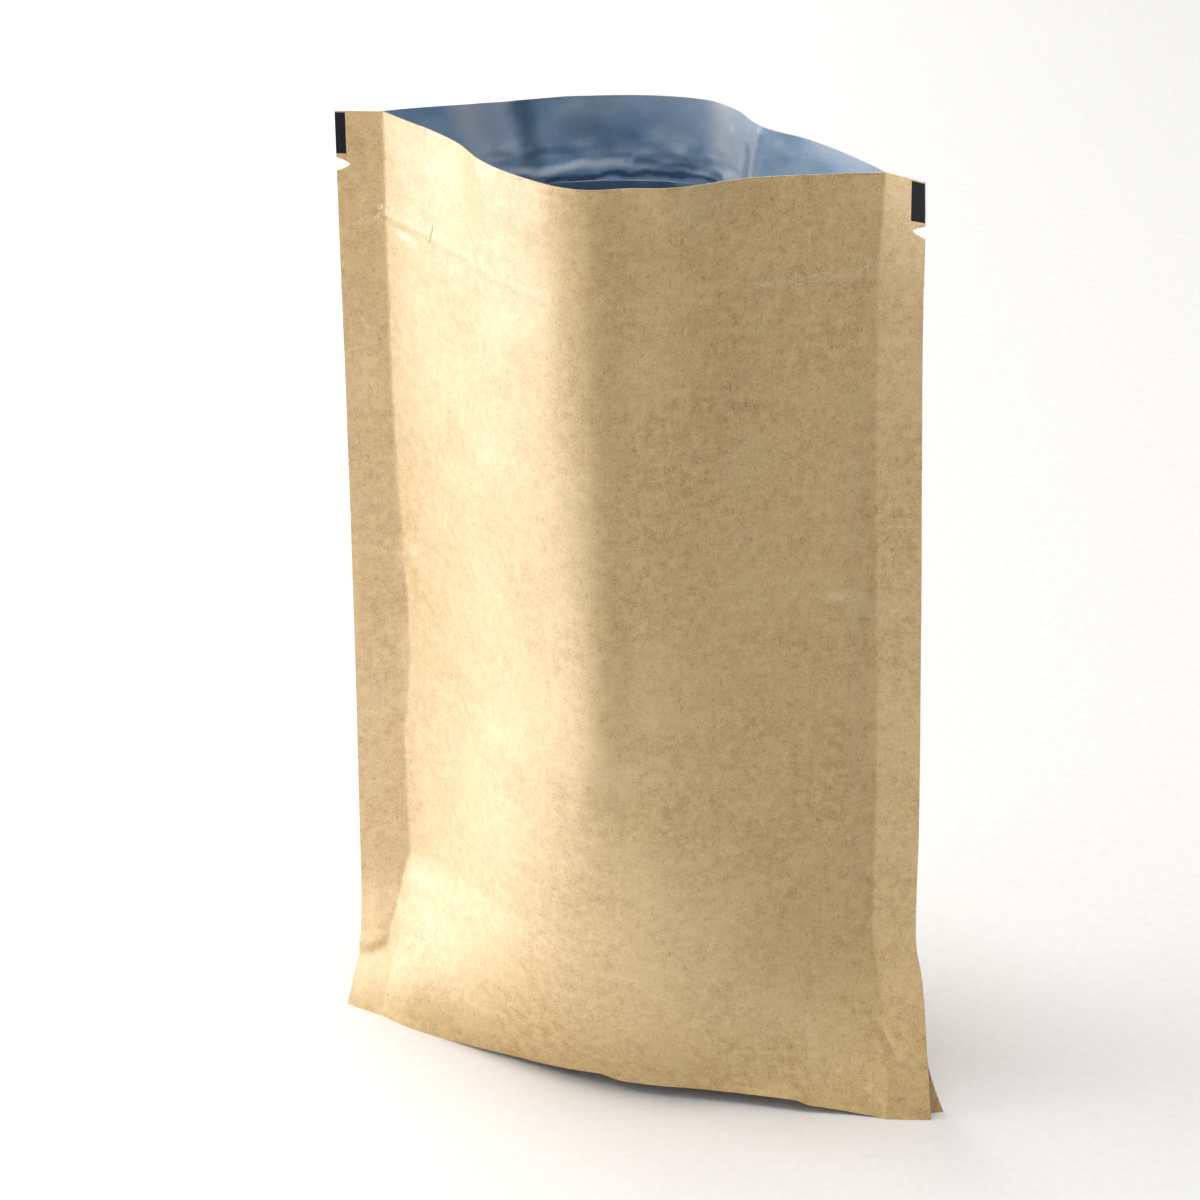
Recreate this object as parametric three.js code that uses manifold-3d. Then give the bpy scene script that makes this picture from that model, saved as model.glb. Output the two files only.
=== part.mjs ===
// An open kraft stand-up pouch: two film panels sealed down both sides, a folded bottom gusset
// between them, tear notches below the open top, and a press-to-close strip inside each panel.
// Millimetres, +Z up. X runs along the side seals' line, -Y is the front, z = 0 is the table.
import * as THREE from 'three';
import { mergeVertices } from 'three/addons/utils/BufferGeometryUtils.js';
import Module from 'manifold-3d';

// The flat pouch
const FLAT_WIDTH = 150;
const HEIGHT = 230;
const SIDE_SEAL = 10;
const GUSSET_DEPTH = 40;
const FREE_HALF = FLAT_WIDTH / 2 - SIDE_SEAL;

// The film, modelled thicker than the real laminate so that it is a sound solid
const FILM = 0.6;

// The gusset's curved bottom seal, lowest in the middle
const BASE_SEAL = 8;
const SEAL_TOP_AT_SIDES = GUSSET_DEPTH - 2;
const SEAL_SWEEP = 2.6;
const PEEL = 1.5;

// Tear notches
const NOTCH_BELOW_TOP = 12.5;
const NOTCH_HEIGHT = 3.2;
const NOTCH_DEPTH = 3;
const NOTCH_FULLNESS = 0.6;

// Press-to-close strips
const ZIP_BELOW_TOP = 25;
const ZIP_HALF_SPAN = 57;
const ZIP_FLANGE_HEIGHT = 9;
const ZIP_FLANGE = 0.6;
const ZIP_RIB_HEIGHT = 1.6;
const ZIP_RIB = 1.2;
const CLEARANCE = 0.3;

// The opened pouch. A side seal's rows are: height, then x and y of its inner end and the turn of
// its band. A panel's rows are: height, then the turns of its film at nine places evenly spaced
// from the left seal to the right one. A turn is the angle in degrees by which the film's level
// line leaves +X, positive towards the back.
const LEFT_SEAL = [
  [0, [-64.8, -7, -26]],
  [20, [-59.9, -3.6, -8]],
  [34, [-59.4, -1.2, 1]],
  [42, [-59.3, -0.4, 9]],
  [120, [-58.4, 0, 12]],
  [HEIGHT, [-58.1, 0, 15]],
];
const RIGHT_SEAL = [
  [0, [63.8, -11, 8]],
  [20, [60.8, -5.5, -2]],
  [32, [59, -2.4, -4]],
  [42, [56.8, -0.8, -2]],
  [70, [57, 0, 2]],
  [120, [57, 0, 6]],
  [200, [56.7, 0, 2]],
  [HEIGHT, [58.1, 0, -16]],
];
const FRONT = {
  outward: 1,
  turns: [
    [0, [-12, -10, -8, -9, 0, 9, 6, 2, -4]],
    [14, [-25, -22, -20, -14, -3, 8, 12, 10, 4]],
    [45, [-12, -35, -36, -25, -4, 17, 29, 33, 33]],
    [120, [-10, -37, -38, -27, 4, 33, 35, 34, 37]],
    [HEIGHT, [-24, -30, -39, -25, 4, 23, 38, 26, 14]],
  ],
};
const BACK = {
  outward: -1,
  turns: [
    [0, [26, 22, 15, 7, 0, -7, -16, -23, -26]],
    [45, [20, 34, 34, 22, 2, -22, -33, -33, -20]],
    [120, [22, 34, 37, 27, 2, -26, -36, -32, -22]],
    [HEIGHT, [34, 28, 31, 21, 6, -35, -25, -26, -36]],
  ],
};

// Where the pouch's middle lies in the seals' coordinates: the origin is put under it
const MIDDLE_X = -0.1;
const MIDDLE_Y = -0.8;

// Grid lines of the film
const PANEL_COLUMNS = 32;
const ZIP_COLUMNS = 28;
const ROW_HEIGHTS = [0, 5, 10, 15, 20, 26, 32, 38, 44, 54, 68, 86, 106, 128, 152, 178, 205, HEIGHT];
const GUSSET_ROWS = 6;
const FOOT_ROWS = 4;
const LINE_STEP = 1;

// How far to each side of a place the film's direction there is measured
const NUDGE = 0.4;

const wasm = await Module();
wasm.setup();

const radians = THREE.MathUtils.degToRad;
const lerp = THREE.MathUtils.lerp;

/** Evenly spaced numbers from low to high, both included. */
function spaced(low, high, steps) {
  return Array.from({ length: steps + 1 }, (_, i) => lerp(low, high, i / steps));
}

/** The value at t of a smooth curve through values[i] at knots[i]. */
function through(knots, values, t) {
  const last = knots.length - 1;
  let i = 0;
  while (i < last - 1 && t > knots[i + 1]) i += 1;
  const slope = (k) => {
    const before = Math.max(k - 1, 0);
    const after = Math.min(k + 1, last);
    return (values[after] - values[before]) / (knots[after] - knots[before]);
  };
  const span = knots[i + 1] - knots[i];
  const u = (t - knots[i]) / span;
  const rise = values[i + 1] - values[i];
  const leave = slope(i) * span;
  const arrive = slope(i + 1) * span;
  return values[i] + u * (leave + u * (3 * rise - 2 * leave - arrive + u * (leave + arrive - 2 * rise)));
}

/** A row of numbers at height z, between rows of [height, numbers]. */
function rowAt(rows, z) {
  const heights = rows.map(([height]) => height);
  return rows[0][1].map((_, k) => through(heights, rows.map(([, numbers]) => numbers[k]), z));
}

const STATIONS = spaced(-FREE_HALF, FREE_HALF, FRONT.turns[0][1].length - 1);

/** The line of a panel's film at height z, as points every LINE_STEP from seal to seal. */
function filmLine(panel, z) {
  const turns = rowAt(panel.turns, z);
  const [leftX, leftY] = rowAt(LEFT_SEAL, z);
  const [rightX, rightY] = rowAt(RIGHT_SEAL, z);
  const walked = [new THREE.Vector2(0, 0)];
  for (let s = -FREE_HALF + LINE_STEP / 2; s < FREE_HALF; s += LINE_STEP) {
    const turn = radians(through(STATIONS, turns, s));
    const step = new THREE.Vector2(Math.cos(turn), Math.sin(turn)).multiplyScalar(LINE_STEP);
    walked.push(walked.at(-1).clone().add(step));
  }
  const end = walked.at(-1);
  return walked.map((p, i) => new THREE.Vector2(
    leftX + p.x * (rightX - leftX) / end.x,
    leftY + p.y + (rightY - leftY - end.y) * i / (walked.length - 1),
  ));
}

/** The film of a panel at a distance across it from its middle, at height z. */
function onPanel(panel, across, z) {
  const beyond = Math.abs(across) - FREE_HALF;
  if (beyond > 0) {
    const side = Math.sign(across);
    const [x, y, turn] = rowAt(side < 0 ? LEFT_SEAL : RIGHT_SEAL, z);
    const reach = side * beyond;
    return new THREE.Vector3(x + reach * Math.cos(radians(turn)), y + reach * Math.sin(radians(turn)), z);
  }
  const line = filmLine(panel, z);
  const place = (across + FREE_HALF) / LINE_STEP;
  const i = Math.min(Math.floor(place), line.length - 2);
  const p = line[i].clone().lerp(line[i + 1], place - i);
  return new THREE.Vector3(p.x, p.y, z);
}

/** The film moved level and square to itself by a distance, towards -Y where it is positive. */
function besidePanel(panel, across, z, distance) {
  const along = onPanel(panel, across + NUDGE, z).sub(onPanel(panel, across - NUDGE, z));
  const square = new THREE.Vector3(along.y, -along.x, 0).normalize();
  return onPanel(panel, across, z).addScaledVector(square, distance);
}

/** A closed mesh through rings of points, each ring turning clockwise seen along the rings' order.
 *  A profile closes the two ends; without one the end rings are folded flat and close by merging. */
function loft(rings, profile) {
  const size = rings[0].length;
  const triangles = [];
  for (let i = 0; i < rings.length - 1; i += 1) {
    for (let j = 0; j < size; j += 1) {
      const next = (j + 1) % size;
      const [a, b, c, d] = [i * size + j, i * size + next, (i + 1) * size + next, (i + 1) * size + j];
      triangles.push(a, b, c, a, c, d);
    }
  }
  if (profile) {
    const last = (rings.length - 1) * size;
    THREE.ShapeUtils.triangulateShape(profile, []).forEach(([a, b, c]) => {
      triangles.push(a, c, b, last + a, last + b, last + c);
    });
  }
  const geometry = new THREE.BufferGeometry();
  const positions = rings.flat().flatMap((p) => p.toArray());
  geometry.setAttribute('position', new THREE.Float32BufferAttribute(positions, 3));
  geometry.setIndex(triangles);
  return geometry;
}

/** A closed three.js geometry as a solid that can be cut and joined. */
function solid(geometry) {
  const bare = new THREE.BufferGeometry();
  bare.setAttribute('position', geometry.getAttribute('position'));
  bare.setIndex(geometry.index);
  const merged = mergeVertices(bare, 1e-4);
  return new wasm.Manifold(new wasm.Mesh({
    numProp: 3,
    vertProperties: Float32Array.from(merged.attributes.position.array),
    triVerts: Uint32Array.from(merged.index.array),
  }));
}

/** A solid as a named mesh of one material, moved so that the origin is under the pouch's middle. */
function meshOf(name, shape, material) {
  const { vertProperties, triVerts } = shape.getMesh();
  const geometry = new THREE.BufferGeometry();
  geometry.setAttribute('position', new THREE.BufferAttribute(vertProperties, 3));
  geometry.setIndex(new THREE.BufferAttribute(triVerts, 1));
  geometry.computeVertexNormals();
  const mesh = new THREE.Mesh(geometry, material);
  mesh.name = name;
  mesh.position.set(-MIDDLE_X, -MIDDLE_Y, 0);
  return mesh;
}

/** Everything between the two panels' outer faces, side seals included. */
function filledPouch() {
  const half = FLAT_WIDTH / 2;
  const columns = [-half, ...spaced(-FREE_HALF, FREE_HALF, PANEL_COLUMNS), half];
  const rings = ROW_HEIGHTS.map((z) => [
    ...columns.map((across) => besidePanel(FRONT, across, z, FILM)),
    ...columns.toReversed().map((across) => besidePanel(BACK, across, z, -FILM)),
  ]);
  const outline = rings[0].map((p) => new THREE.Vector2(p.x, p.y));
  return solid(loft(rings, outline));
}

/** Height of the bottom seal's upper edge at a distance across the pouch. */
function bottomSealTop(across) {
  return lerp(BASE_SEAL, SEAL_TOP_AT_SIDES, Math.abs(across / FREE_HALF) ** SEAL_SWEEP);
}

/** The gusset's line from front to back: it peels off each panel above the bottom seal and leans to
 *  the fold in the middle. Lowered by the film's own thickness it gives the underside. */
function gussetLine(across, underside) {
  const foot = bottomSealTop(across);
  const gap = onPanel(FRONT, across, foot).distanceTo(onPanel(BACK, across, foot));
  const leg = GUSSET_DEPTH - foot;
  const rise = Math.sqrt(Math.max(leg ** 2 - (gap / 2) ** 2, 0));
  const lowered = underside ? FILM * leg / Math.max(gap / 2, FILM) : 0;
  return spaced(-1, 1, 2 * GUSSET_ROWS).map((place) => {
    const up = 1 - Math.abs(place);
    const z = foot + rise * up - Math.min(lowered, foot / 2);
    const middle = onPanel(FRONT, across, z).lerp(onPanel(BACK, across, z), 0.5);
    return middle.lerp(onPanel(place < 0 ? FRONT : BACK, across, z), 1 - up ** PEEL);
  });
}

/** The pouch's inside, from the gusset up through the open mouth. */
function inside() {
  const beyondTop = HEIGHT + 1;
  const fractions = ROW_HEIGHTS.map((z) => z / HEIGHT).slice(1);
  const rings = spaced(-FREE_HALF, FREE_HALF, PANEL_COLUMNS).map((across) => {
    const heights = fractions.map((fraction) => lerp(bottomSealTop(across), beyondTop, fraction));
    return [
      ...heights.toReversed().map((z) => onPanel(FRONT, across, z)),
      ...gussetLine(across, false),
      ...heights.map((z) => onPanel(BACK, across, z)),
    ];
  });
  return solid(loft(rings));
}

/** The space under the gusset, down through the open foot. */
function underGusset() {
  const belowFoot = -1;
  const rings = spaced(-FREE_HALF, FREE_HALF, PANEL_COLUMNS).map((across) => {
    const fold = gussetLine(across, true);
    const heights = spaced(belowFoot, fold[0].z, FOOT_ROWS).slice(0, -1);
    return [
      ...heights.toReversed().map((z) => onPanel(FRONT, across, z)),
      ...heights.map((z) => onPanel(BACK, across, z)),
      ...fold.toReversed(),
    ];
  });
  return solid(loft(rings));
}

/** A tear notch, a short pointed cut through one side seal. */
function tearNotch(side) {
  const half = NOTCH_HEIGHT / 2;
  const outline = new THREE.Shape();
  outline.moveTo(side, -half);
  outline.lineTo(0, -half);
  outline.quadraticCurveTo(-side * NOTCH_DEPTH * NOTCH_FULLNESS, -half, -side * NOTCH_DEPTH, 0);
  outline.quadraticCurveTo(-side * NOTCH_DEPTH * NOTCH_FULLNESS, half, 0, half);
  outline.lineTo(side, half);
  const reach = SIDE_SEAL;
  const geometry = new THREE.ExtrudeGeometry(outline, { depth: reach, bevelEnabled: false, curveSegments: 4 });
  const z = HEIGHT - NOTCH_BELOW_TOP;
  const tip = onPanel(FRONT, side * FLAT_WIDTH / 2, z);
  geometry.translate(0, 0, -reach / 2);
  geometry.rotateX(Math.PI / 2);
  geometry.translate(tip.x, tip.y, tip.z);
  return solid(geometry);
}

/** A press-to-close strip: a flange on the inside of a panel with a rib along its middle. */
function zipStrip(panel) {
  const wall = CLEARANCE;
  const face = wall + ZIP_FLANGE;
  const crest = face + ZIP_RIB;
  const half = ZIP_FLANGE_HEIGHT / 2;
  const rib = ZIP_RIB_HEIGHT / 2;
  const section = [
    [wall, -half], [face, -half], [face, -rib], [crest, -rib],
    [crest, rib], [face, rib], [face, half], [wall, half],
  ];
  const centre = HEIGHT - ZIP_BELOW_TOP;
  const ordered = panel === FRONT ? section : section.toReversed();
  const rings = spaced(-ZIP_HALF_SPAN, ZIP_HALF_SPAN, ZIP_COLUMNS).map((across) => (
    ordered.map(([depth, up]) => besidePanel(panel, across, centre + up, -panel.outward * depth))
  ));
  const outline = ordered.map(([depth, up]) => new THREE.Vector2(depth * panel.outward, up));
  return solid(loft(rings, outline));
}

const kraft = new THREE.MeshStandardMaterial({ color: 0xc2a676, roughness: 0.55, metalness: 0 });
const clearPlastic = new THREE.MeshStandardMaterial({ color: 0x9fb2c4, roughness: 0.35, metalness: 0 });

const pouch = filledPouch()
  .subtract(inside())
  .subtract(underGusset())
  .subtract(tearNotch(-1))
  .subtract(tearNotch(1));

const object = new THREE.Group();
object.add(meshOf('pouch', pouch, kraft));
object.add(meshOf('zip_front', zipStrip(FRONT), clearPlastic));
object.add(meshOf('zip_back', zipStrip(BACK), clearPlastic));

export default object;
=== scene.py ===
"""The looks of an open kraft stand-up pouch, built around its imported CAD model.

Lengths are in millimetres until a mesh is made. A place on a panel is (s, z): s runs across the flat
pouch from its middle, z is the height above the table. The film is bent by turns: a turn is the angle
in degrees by which the film's level line leaves +X, positive towards the back.
"""

import math

import bpy
import numpy as np
from mathutils import Matrix, Vector


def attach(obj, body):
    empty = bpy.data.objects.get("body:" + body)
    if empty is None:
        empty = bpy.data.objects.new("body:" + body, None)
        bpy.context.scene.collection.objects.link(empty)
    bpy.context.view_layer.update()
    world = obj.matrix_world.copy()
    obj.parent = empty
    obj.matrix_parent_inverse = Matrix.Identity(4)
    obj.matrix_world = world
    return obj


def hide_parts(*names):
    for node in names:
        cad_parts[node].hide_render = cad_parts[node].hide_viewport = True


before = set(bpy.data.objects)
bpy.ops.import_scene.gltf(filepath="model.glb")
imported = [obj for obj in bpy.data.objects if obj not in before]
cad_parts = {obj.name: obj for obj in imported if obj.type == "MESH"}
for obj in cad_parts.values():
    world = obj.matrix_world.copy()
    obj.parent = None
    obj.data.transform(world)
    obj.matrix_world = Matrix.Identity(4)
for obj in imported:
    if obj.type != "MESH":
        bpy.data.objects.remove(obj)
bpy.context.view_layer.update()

METRES = 0.001

# The flat pouch, as in the CAD source
FLAT_HALF = 75
HEIGHT = 230
SIDE_SEAL = 10
FREE_HALF = FLAT_HALF - SIDE_SEAL
GUSSET_DEPTH = 40
BASE_SEAL = 8
SEAL_TOP_AT_SIDES = GUSSET_DEPTH - 2
SEAL_SWEEP = 2.6
SEAL_EDGE = 3
PEEL = 1.5
NOTCH_BELOW_TOP = 12.5
NOTCH_HEIGHT = 3.2
NOTCH_DEPTH = 3
NOTCH_POWER = 1.6
ZIP_BELOW_TOP = 25
ZIP_HALF_SPAN = 57
MIDDLE_X = -0.1
MIDDLE_Y = -0.8

# The real laminate's thickness
FILM = 0.16

# The strips: the flange's thickness, and how far their ribs are crushed at their ends, and over what length
FLANGE_THICKNESS = 0.32
ZIP_CRUSH = 0.8
ZIP_CRUSHED_END = 3
ZIP_COLUMNS = 161

# The mesh attribute with each point's place on the flat film, and how far its panels are kept apart there
FILM_PLACE = "film_place"
SIDE_APART = 100

# How far and how finely the lines drawn on the film waver: millimetres, and waves per metre
WAVER = 4
WAVER_SCALE = 130

# The opened pouch, close to the CAD source: height, then x and y of a seal's inner end and its turn
LEFT_SEAL = [
    (0, (-64.1, -5.2, -13)),
    (12, (-61.6, -4.4, -8)),
    (20, (-59.9, -3.6, -6)),
    (34, (-59.4, -1.2, 4)),
    (42, (-59.3, -0.4, 13)),
    (120, (-58.4, 0, 16)),
    (HEIGHT, (-58.1, 0, 15)),
]
RIGHT_SEAL = [
    (0, (63.8, -11, 16)),
    (20, (60.8, -5.5, 11)),
    (32, (58.9, -2.4, 7)),
    (42, (56.8, -0.8, 6)),
    (70, (56.9, 0, 8)),
    (120, (56.8, 0, 12)),
    (200, (56.5, 0, 8)),
    (HEIGHT, (58.1, 0, -16)),
]

# Height, then the film's turns at evenly spaced places from the left seal to the right one
FRONT_TURNS = [
    (0, (-24, -11, -8, -9, 0, 9, 6, 2, -4)),
    (14, (-34, -27, -24, -16, -3, 8, 12, 10, 4)),
    (45, (-8, -34, -36, -24, -5, 17, 29, 33, 30)),
    (120, (-8, -37, -38, -25, 1, 29, 35, 34, 32)),
    (HEIGHT, (-12, -29, -39, -24, 2, 21, 40, 26, 18)),
]
BACK_TURNS = [
    (0, (26, 22, 15, 7, 0, -7, -16, -23, -26)),
    (45, (20, 34, 34, 22, 2, -22, -33, -33, -20)),
    (120, (22, 34, 37, 27, 2, -26, -36, -32, -22)),
    (HEIGHT, (34, 28, 31, 21, 6, -35, -25, -26, -36)),
]
STATIONS = np.linspace(-FREE_HALF, FREE_HALF, 9)
LINE_STEP = 0.5

# Local bends: side (1 front, -1 back), place across, width, turn, and the heights where it starts and is full
BENDS = [
    (1, -64, 7, -16, (0, 60)),
    (1, -9, 5, -5, (0, 60)),
    (1, 6, 4.5, 18, (45, 100)),
    (1, 62, 4, 9, (226, 205)),
    (1, 62, 4, -9, (70, 20)),
    (1, -33, 4.5, -8, (205, 229)),
    (1, 13, 4, -9, (218, 229)),
    (1, 28, 6, 7, (215, 229)),
    (1, 35, 6, -9, (190, 212)),
    (1, 12, 5, 5, (185, 205)),
    (1, 43, 4, -8, (205, 229)),
    (-1, 7, 4, 9, (185, 228)),
    (-1, 22, 5, -13, (185, 228)),
    (-1, 35, 4, 12, (185, 228)),
    (-1, 52, 7, -5, (185, 228)),
]

# Where the front's left bulge leaves the seal: height and place across
LEFT_CREASE = [
    (34, -66.5),
    (44, -63.5),
    (57, -64),
    (73, -64.5),
    (95, -62.5),
    (110, -63),
    (160, -65),
]
CREASE_WIDTH = 1.5

# How the highlight's ridge steps to the left below a dent: the heights where it starts and is full, how far,
# and the middle and width of what steps
RIDGE_STEP_HEIGHTS = (98, 84)
RIDGE_STEP = 4
RIDGE_STEP_PLACE = (-8, 14)

# How far the front's bottom edge is off the table: place across and height
LIFT = [(-48, 0), (-20, 1.0), (-3, 2.3), (2, 1.3), (20, 1.5), (44, 1.4), (46.5, 0.5), (66, 0)]
LIFT_FADE = 14

# How much higher it is where it is also swung out, and how far out it swings per millimetre up
SWING = [(-45, 0), (-20, 0.6), (-5, 1.1), (5, 1.6), (20, 1.8), (45, 1.7), (50, 1.2), (64, 0)]
SWING_OUT = 1.97

# Where the left fin is folded along with the bulge beside it: height, how much of it, and its slope back
LEFT_FOLD = [
    (0, 10, 0),
    (10, 10, 0.13),
    (13.5, 10, 0.2),
    (15.5, 6, 0.24),
    (17, 4.3, 0.28),
    (19, 3.2, 0.32),
    (25, 2, 0.4),
    (34, 0, 0.5),
]

# How the fins' two sealed films wave up the pouch: how far, where it starts and is full, the waves' lengths
# and how many they are
FIN_WAVE = 0.18
FIN_WAVE_REACH = (66, 74)
FIN_WAVE_LENGTHS = (35, 110)
FIN_WAVE_COUNT = 6
FIN_WAVE_SEED = 11

# The right foot's layers gape: how far the back one stands off, and where that starts
GAPE = (1.8, 4.0, 0)
GAPE_FROM = 66
GAPE_HEIGHT = 13
GAPE_POWER = 1.3

# The free film's slow cockle and its fine tooth: how high, the waves' lengths and how many
COCKLE = 0.06
COCKLE_LENGTHS = (14, 45)
COCKLE_COUNT = 24
TOOTH = 0.012
TOOTH_LENGTHS = (4, 9)
TOOTH_COUNT = 30
TOOTH_SQUEEZE = 0.6
STIFF_EDGE = 4

# The line that the strip presses out of the front: its height by place across, how far it stands out at the
# middle and at the sides, its width, and the fine ticks along its right part
ZIP_LINE = [(-75, 205), (-65, 205), (-7, 203.9), (5, 204.5), (40, 206), (65, 207.5), (75, 209)]
PRESSED_MIDDLE = 0.05
PRESSED_SIDES = 0.09
PRESSED_REACH = (30, 60)
PRESSED_WIDTH = 1.2
TICK = 0.05
TICK_PITCH = 2.1
TICK_WIDTH = 1.6
TICKS_FROM = (40, 52)

# The front's bottom lip: how far it flares, up to what height, and where it starts and ends across
FLARE = 0.35
FLARE_HEIGHT = 5
FLARE_START = (-12, 0)
FLARE_END = (56, 44)

# The foil's crinkles along the strip's weld: how high, where they start and end, and the waves' lengths
CRINKLE = 0.07
CRINKLE_BOTTOM = (208, 212)
CRINKLE_TOP = (215, 222)
CRINKLE_LEFT = (-48, -38)
CRINKLE_RIGHT = (20, 34)
CRINKLE_LENGTHS = (5, 12)
CRINKLE_COUNT = 24
CRINKLE_SQUEEZE = 1.8

# What each piece of random relief is drawn from
FRONT_SEED = 3
BACK_SEED = 5
CRINKLE_SEED = 7

# Creases, dents and bumps of the front: start and end as (s, z), width, and height outwards
FRONT_FEATURES = [
    ((-61, 121), (-58, 120), 3, 0.4),
    ((-61, 112), (-60, 115), 3, -0.25),
    ((-15, 97), (-12, 95), 5, 0.4),
    ((-9, 90), (-6, 86), 3.5, -0.45),
    ((54, 128), (64, 124), 1.3, -0.35),
    ((56, 131), (61, 129), 2, 0.25),
    ((-60, 203.5), (-57, 203), 1.2, -0.2),
]

# The same for both films together, near and on the fins, outwards to the front
FIN_FEATURES = [
    ((-66, 206.3), (-64.5, 206.6), 0.9, -0.4),
    ((-65, 205), (-63.6, 208), 0.7, 0.25),
    ((-62.6, 205.2), (-61.8, 207.2), 0.6, 0.2),
    ((-76, 17), (-70, 19.5), 2.2, 0.8),
    ((-77, 22.5), (-69, 25), 4.5, 0.7),
    ((67, 18), (73, 12.5), 1.1, 0.35),
    ((66, 14), (73, 11), 0.9, -0.3),
    ((64, 22), (68, 15), 1.2, -0.3),
    ((60, 9), (66, 5), 1.6, 0.25),
    ((71.5, 17.5), (76, 16), 2.2, 0.9),
]

# The same for the back, whose inside shows at the mouth
BACK_FEATURES = [
    ((-40, 214.8), (-15, 215.6), 1.6, 0.22),
    ((-38, 212.3), (-12, 212.3), 1.3, -0.22),
    ((-27, 217), (-24, 216), 2.4, 0.3),
    ((-19, 220), (-18, 220.5), 2.2, 0.25),
    ((-25, 229), (-22, 229.5), 2.5, 0.2),
    ((0.5, 215), (1.5, 215), 2.3, -0.35),
    ((7, 211.4), (8, 211.4), 1.9, -0.35),
    ((14, 212.2), (15.5, 212.6), 2.3, -0.35),
    ((-38, 229.5), (-36, 218), 3, -0.25),
    ((-36, 218), (-28.5, 210.5), 2.4, -0.25),
    ((15.5, 224.5), (20.5, 215), 0.9, -0.4),
    ((27, 228.5), (24, 216), 0.9, -0.4),
    ((28.5, 222), (28, 217), 1.3, -0.2),
    ((33, 226), (34, 225), 1.5, -0.3),
    ((13, 229), (13, 219), 3, -0.3),
]

# Printed marks at the top corners: how far each reaches in from the edge, and its two heights
MARK_LEFT_WIDTH = 2.3
MARK_RIGHT_WIDTH = 3.3
MARK_TOP = 229.7
MARK_BOTTOM = 220

# Pale scuffs on the kraft: start and end as (s, z), half width and strength
SCUFFS = [
    ((-66.8, 204.8), (-65.6, 208.2), 0.5, 0.8),
    ((-65.2, 205.6), (-64.5, 207.6), 0.45, 0.8),
    ((-63.6, 205.4), (-62.6, 207.4), 0.4, 0.7),
    ((-70.5, 203.6), (-68.4, 205.2), 0.5, 0.4),
    ((-73.5, 203), (-71.5, 203.4), 0.6, 0.3),
    ((-60, 204.6), (-57.5, 203.8), 1.1, 0.35),
    ((-57.5, 201.2), (-55, 200.8), 1.2, 0.4),
    ((4.8, 204.2), (5.3, 206.6), 0.45, 0.45),
    ((3.6, 205.2), (6.4, 205.8), 0.4, 0.35),
    ((-9, 203.6), (3, 204.2), 0.8, 0.15),
    ((38, 205.8), (62, 207.6), 1.1, 0.22),
    ((62, 207.8), (75, 211), 0.9, 0.25),
    ((55, 130.8), (61, 130), 1.6, 0.25),
]

# Painted shade of hairline creases in the kraft, where the fold falls dark: start and end as (s, z), and half
# width, then the strength of them all
HAIRLINE_SHADES = [
    ((-49, 207), (-49.6, 202.6), 0.3),
    ((-49.2, 205.8), (-49.5, 204.2), 0.45),
]
HAIRLINE_SHADE_STRENGTH = 0.7

# Painted highlights on the foil, where its folds and patches catch the light: start and end as (s, z), half
# width and strength
PAINTED_FOIL_HIGHLIGHTS = [
    ((-38.5, 230), (-37.5, 219), 3.6, 0.5),
    ((-37.5, 219), (-30, 210), 3.2, 0.5),
    ((-37, 213.2), (-12, 213.0), 1.3, 0.6),
    ((-12, 212.8), (4, 212.6), 0.8, 0.5),
    ((-46, 229), (-42, 215), 6, 0.9),
    ((-26, 213.2), (-12, 213.6), 1.6, 0.6),
    ((22, 229), (21, 216), 7, 0.5),
    ((-3, 222), (4, 219), 3, 0.4),
    ((-16, 229), (-14, 226), 4, 0.3),
    ((1, 216.8), (2, 216.8), 2.4, 0.6),
    ((7, 212.8), (9, 212.8), 2, 0.6),
    ((14.5, 214), (16, 214), 2.6, 0.6),
    ((15.5, 224.5), (20.5, 215), 0.5, 0.6),
    ((27, 228.5), (24, 216), 0.5, 0.6),
    ((12.5, 229), (13.5, 219), 8, 0.85),
    ((45, 230), (64, 227), 7, 0.4),
]

# Painted shade on the foil, mostly along the strip's weld: start and end as (s, z), half width and strength
FOIL_SHADE = [
    ((-28, 210.6), (10.5, 210.8), 1.3, 0.85),
    ((-36, 212), (-26, 211.2), 1.2, 0.5),
    ((-34, 214.6), (-10, 215.2), 1.1, 0.25),
    ((-34, 229), (-31, 216), 4, 0.6),
    ((-8, 213.4), (12, 212.8), 1.6, 0.5),
    ((-22, 223), (-10, 219), 5, 0.3),
    ((-4, 216), (8, 215), 2.5, 0.35),
    ((22, 222), (21, 213), 2.5, 0.35),
]

# The mesh's columns, from the middle out: even ones, finer ones over a seal's inner end, then a fin's own
EVEN_HALF = 58
EVEN_COLUMNS = 146
SEAL_COLUMNS_END = 68
SEAL_STEP = 0.5
FIN_COLUMNS = [69, 70, 71, 71.7, 72.2, 72.7, 73.3, 73.9, 74.5, FLAT_HALF]

# The mesh's rows: from, to and step, up to the strip, then the steps below the notches and beside the marks
ROW_STEPS = [(0, 24, 0.5), (24, 200, 1), (200, 212, 0.4)]
STRIP_ROWS_END = 212
STRIP_STEP = 0.6
NOTCH_ROWS = 21
MARK_STEP = 0.8

# The gusset's lines: steps up each sealed leg, lines over the fold, and steps of the walls that they follow,
# which are read to just below their last line
LEG_STEPS = 40
FOLD_LINES = 33
WALL_STEPS = 80
WALL_END = WALL_STEPS - 0.001

# The share of the film's thickness that the gusset keeps clear of each panel
GUSSET_CLEARANCE = 0.02

# A face's material in the laminate's list
KRAFT, FOIL, EDGE, INK = range(4)

# Edges that turn by more degrees than this are sharp
SHARP_EDGE = 50

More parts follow.
